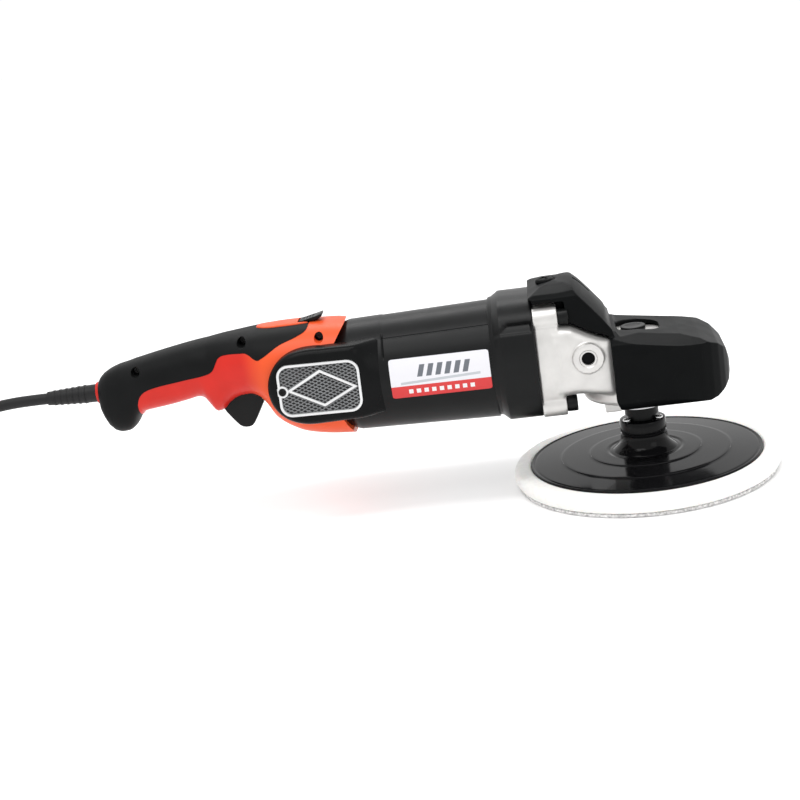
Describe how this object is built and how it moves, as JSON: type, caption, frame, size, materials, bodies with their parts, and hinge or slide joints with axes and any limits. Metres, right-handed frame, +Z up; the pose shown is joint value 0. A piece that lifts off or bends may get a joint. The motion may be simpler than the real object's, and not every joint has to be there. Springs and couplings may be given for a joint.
{
  "type": "rotary polisher",
  "caption": "Corded rotary polisher: right-angle aluminium gear head under a black hood, barrel motor, orange-red tail handle with trigger, and a white foam pad on a backing plate.",
  "frame": {"origin": "centre of the pad's working face, on the spindle axis", "axes": "+Z up the spindle, +X along the motor axis towards the nose, +Y to the tool's left side"},
  "size_m": [0.6823, 0.176, 0.1384],
  "materials": {
    "cast_aluminium": "fine cast, satin",
    "steel": "machined",
    "bright_steel": "bright zinc",
    "hood_rubber": "moulded rubber, satin",
    "black_nylon": "glass-filled nylon, fine texture",
    "soft_grip": "soft overmould",
    "red_nylon": "orange-red nylon, fine texture",
    "plate_black": "glossy black",
    "foam": "white polyurethane foam",
    "hook_grey": "woven hook layer",
    "label_print": "printed film",
    "copper": "enamelled copper wire",
    "brass": "pressed brass",
    "carbon": "carbon",
    "board": "circuit board",
    "grille_metal": "stamped mesh, satin",
    "cord_rubber": "rubber sheath"
  },
  "bodies": {
    "housing": {"gear_housing": "cast_aluminium", "gear_cover": "cast_aluminium", "gear_cover_screws": "steel", "lower_bearing": "steel", "upper_bearing": "steel", "dust_seal": "soft_grip", "head_cover": "hood_rubber", "cover_screw": "black_nylon", "flange_screws": "steel", "front_bearing": "steel", "motor_housing": "black_nylon", "front_collar": "black_nylon", "field_core": "steel", "field_coils": "copper", "rear_bearing": "steel", "rear_bearing_sleeve": "soft_grip", "brush_holders": "brass", "carbon_brushes": "carbon", "tail_shell_left": "red_nylon", "tail_shell_right": "red_nylon", "grip_overmould_left": "soft_grip", "grip_overmould_right": "soft_grip", "side_pod_left": "black_nylon", "side_pod_right": "black_nylon", "vent_grille_left": "grille_metal", "vent_grille_right": "grille_metal", "grille_screws": "steel", "handle_screws": "steel", "label": "label_print", "switch_body": "black_nylon", "speed_module": "board", "capacitor": "brass", "cord_clamp": "black_nylon", "clamp_screws": "steel", "cord_boot": "cord_rubber", "boot_ring": "red_nylon", "trigger_pin": "steel", "lock_spring": "steel", "cord": "cord_rubber", "cord_coil": "cord_rubber", "cord_tie": "black_nylon", "plug_body": "cord_rubber", "plug_pins": "brass"},
    "spindle": {"spindle": "steel", "crown_gear": "steel", "backing_hub": "plate_black", "hub_screws": "bright_steel", "backing_plate": "plate_black", "foam_pad": "foam", "hook_layer": "hook_grey"},
    "armature": {"armature_shaft": "steel", "armature_core": "steel", "armature_windings": "copper", "commutator": "copper", "cooling_fan": "black_nylon", "pinion": "steel"},
    "trigger": {"trigger": "black_nylon"},
    "lock_button": {"lock_button": "black_nylon", "lock_tang": "steel"},
    "lock_slider": {"lock_slider": "black_nylon"}
  },
  "joints": [
    {"name": "spindle_spin", "type": "hinge", "parent": "housing", "child": "spindle", "pos_m": [0, 0, 0.05], "axis": [0, 0, 1], "continuous": true},
    {"name": "armature_spin", "type": "hinge", "parent": "housing", "child": "armature", "pos_m": [-0.14, 0, 0.09], "axis": [1, 0, 0], "continuous": true},
    {"name": "trigger_squeeze", "type": "hinge", "parent": "housing", "child": "trigger", "pos_m": [-0.25, 0, 0.091], "axis": [0, 1, 0], "range_deg": [0, 9], "stiffness_Nm_per_rad": 0.6, "springref_deg": -14.32},
    {"name": "lock_press", "type": "slide", "parent": "housing", "child": "lock_button", "axis": [0, 0, -1], "range_m": [0, 0.003], "stiffness_N_per_m": 900, "springref_m": -0.003, "deforming": ["lock_spring"]},
    {"name": "lock_slide", "type": "slide", "parent": "housing", "child": "lock_slider", "axis": [1, 0, 0], "range_m": [0, 0.005]}
  ],
  "couplings": [
    {"joint": "armature_spin", "follows": "spindle_spin", "ratio": -4}
  ]
}
